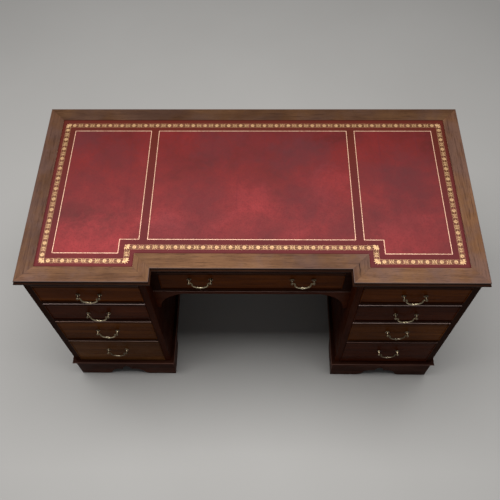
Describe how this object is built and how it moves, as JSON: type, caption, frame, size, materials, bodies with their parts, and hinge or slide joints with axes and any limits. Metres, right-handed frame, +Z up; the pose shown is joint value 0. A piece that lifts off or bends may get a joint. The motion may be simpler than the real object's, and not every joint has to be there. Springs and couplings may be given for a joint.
{
  "type": "pedestal desk",
  "caption": "Mahogany pedestal desk with a leather-lined moulded top, recessed kneehole front, cock-beaded drawers with swinging brass bails, and plinths on bracket feet.",
  "frame": {"origin": "on the floor, under the middle of the desk's bounding box", "axes": "+X along the width to the sitter's right, +Y from the drawer fronts to the back, +Z up"},
  "size_m": [1.33, 0.6488, 0.775],
  "materials": {
    "mahogany_top": "French-polished mahogany, faded mid-brown, satin",
    "mahogany_carcass": "French-polished mahogany, dark red-brown, satin",
    "mahogany_drawer": "French-polished figured mahogany, glossy",
    "oak": "plain oak drawer linings, waxed",
    "pine": "plain pine, unfinished",
    "red_leather": "antiqued crimson skiver, gilt tooled, semi-gloss",
    "brass": "aged lacquered brass"
  },
  "bodies": {
    "carcass": {"top_ground": "pine", "writing_leather": "red_leather", "top_front_border": "mahogany_top", "top_back_border": "mahogany_top", "top_left_border": "mahogany_top", "top_right_border": "mahogany_top", "pedestal_bottoms": "oak", "drawer_runners": "oak", "frieze_frame": "mahogany_carcass", "kneehole_apron": "mahogany_carcass", "frieze_back": "mahogany_carcass", "top_fixing_blocks": "pine", "drawer_stops": "oak", "left_outer_side": "mahogany_carcass", "left_inner_side": "mahogany_carcass", "left_back_panel": "mahogany_carcass", "left_drawer_rails": "mahogany_carcass", "left_plinth": "mahogany_carcass", "right_outer_side": "mahogany_carcass", "right_inner_side": "mahogany_carcass", "right_back_panel": "mahogany_carcass", "right_drawer_rails": "mahogany_carcass", "right_plinth": "mahogany_carcass"},
    "left_drawer_1": {"left_drawer_1_front": "mahogany_drawer", "left_drawer_1_box": "oak", "left_drawer_1_handle_posts": "brass"},
    "left_drawer_1_bail": {"left_drawer_1_bail": "brass"},
    "left_drawer_2": {"left_drawer_2_front": "mahogany_drawer", "left_drawer_2_box": "oak", "left_drawer_2_handle_posts": "brass"},
    "left_drawer_2_bail": {"left_drawer_2_bail": "brass"},
    "left_drawer_3": {"left_drawer_3_front": "mahogany_drawer", "left_drawer_3_box": "oak", "left_drawer_3_handle_posts": "brass"},
    "left_drawer_3_bail": {"left_drawer_3_bail": "brass"},
    "left_drawer_4": {"left_drawer_4_front": "mahogany_drawer", "left_drawer_4_box": "oak", "left_drawer_4_handle_posts": "brass"},
    "left_drawer_4_bail": {"left_drawer_4_bail": "brass"},
    "right_drawer_1": {"right_drawer_1_front": "mahogany_drawer", "right_drawer_1_box": "oak", "right_drawer_1_handle_posts": "brass"},
    "right_drawer_1_bail": {"right_drawer_1_bail": "brass"},
    "right_drawer_2": {"right_drawer_2_front": "mahogany_drawer", "right_drawer_2_box": "oak", "right_drawer_2_handle_posts": "brass"},
    "right_drawer_2_bail": {"right_drawer_2_bail": "brass"},
    "right_drawer_3": {"right_drawer_3_front": "mahogany_drawer", "right_drawer_3_box": "oak", "right_drawer_3_handle_posts": "brass"},
    "right_drawer_3_bail": {"right_drawer_3_bail": "brass"},
    "right_drawer_4": {"right_drawer_4_front": "mahogany_drawer", "right_drawer_4_box": "oak", "right_drawer_4_handle_posts": "brass"},
    "right_drawer_4_bail": {"right_drawer_4_bail": "brass"},
    "centre_drawer": {"centre_drawer_front": "mahogany_drawer", "centre_drawer_box": "oak", "centre_drawer_handle_posts": "brass"},
    "centre_drawer_left_bail": {"centre_drawer_left_bail": "brass"},
    "centre_drawer_right_bail": {"centre_drawer_right_bail": "brass"}
  },
  "joints": [
    {"name": "left_drawer_1_slide", "type": "slide", "parent": "carcass", "child": "left_drawer_1", "axis": [0, -1, 0], "range_m": [0, 0.4]},
    {"name": "left_drawer_1_bail_swing", "type": "hinge", "parent": "left_drawer_1", "child": "left_drawer_1_bail", "pos_m": [-0.475, -0.3215, 0.671], "axis": [-1, 0, 0], "range_deg": [-15, 90]},
    {"name": "left_drawer_2_slide", "type": "slide", "parent": "carcass", "child": "left_drawer_2", "axis": [0, -1, 0], "range_m": [0, 0.4]},
    {"name": "left_drawer_2_bail_swing", "type": "hinge", "parent": "left_drawer_2", "child": "left_drawer_2_bail", "pos_m": [-0.475, -0.3215, 0.542], "axis": [-1, 0, 0], "range_deg": [-15, 90]},
    {"name": "left_drawer_3_slide", "type": "slide", "parent": "carcass", "child": "left_drawer_3", "axis": [0, -1, 0], "range_m": [0, 0.4]},
    {"name": "left_drawer_3_bail_swing", "type": "hinge", "parent": "left_drawer_3", "child": "left_drawer_3_bail", "pos_m": [-0.475, -0.3215, 0.405], "axis": [-1, 0, 0], "range_deg": [-15, 90]},
    {"name": "left_drawer_4_slide", "type": "slide", "parent": "carcass", "child": "left_drawer_4", "axis": [0, -1, 0], "range_m": [0, 0.4]},
    {"name": "left_drawer_4_bail_swing", "type": "hinge", "parent": "left_drawer_4", "child": "left_drawer_4_bail", "pos_m": [-0.475, -0.3215, 0.236], "axis": [-1, 0, 0], "range_deg": [-15, 90]},
    {"name": "right_drawer_1_slide", "type": "slide", "parent": "carcass", "child": "right_drawer_1", "axis": [0, -1, 0], "range_m": [0, 0.4]},
    {"name": "right_drawer_1_bail_swing", "type": "hinge", "parent": "right_drawer_1", "child": "right_drawer_1_bail", "pos_m": [0.475, -0.3215, 0.671], "axis": [-1, 0, 0], "range_deg": [-15, 90]},
    {"name": "right_drawer_2_slide", "type": "slide", "parent": "carcass", "child": "right_drawer_2", "axis": [0, -1, 0], "range_m": [0, 0.4]},
    {"name": "right_drawer_2_bail_swing", "type": "hinge", "parent": "right_drawer_2", "child": "right_drawer_2_bail", "pos_m": [0.475, -0.3215, 0.542], "axis": [-1, 0, 0], "range_deg": [-15, 90]},
    {"name": "right_drawer_3_slide", "type": "slide", "parent": "carcass", "child": "right_drawer_3", "axis": [0, -1, 0], "range_m": [0, 0.4]},
    {"name": "right_drawer_3_bail_swing", "type": "hinge", "parent": "right_drawer_3", "child": "right_drawer_3_bail", "pos_m": [0.475, -0.3215, 0.405], "axis": [-1, 0, 0], "range_deg": [-15, 90]},
    {"name": "right_drawer_4_slide", "type": "slide", "parent": "carcass", "child": "right_drawer_4", "axis": [0, -1, 0], "range_m": [0, 0.4]},
    {"name": "right_drawer_4_bail_swing", "type": "hinge", "parent": "right_drawer_4", "child": "right_drawer_4_bail", "pos_m": [0.475, -0.3215, 0.236], "axis": [-1, 0, 0], "range_deg": [-15, 90]},
    {"name": "centre_drawer_slide", "type": "slide", "parent": "carcass", "child": "centre_drawer", "axis": [0, -1, 0], "range_m": [0, 0.36]},
    {"name": "centre_drawer_left_bail_swing", "type": "hinge", "parent": "centre_drawer", "child": "centre_drawer_left_bail", "pos_m": [-0.151, -0.2775, 0.686], "axis": [-1, 0, 0], "range_deg": [-15, 90]},
    {"name": "centre_drawer_right_bail_swing", "type": "hinge", "parent": "centre_drawer", "child": "centre_drawer_right_bail", "pos_m": [0.151, -0.2775, 0.686], "axis": [-1, 0, 0], "range_deg": [-15, 90]}
  ]
}
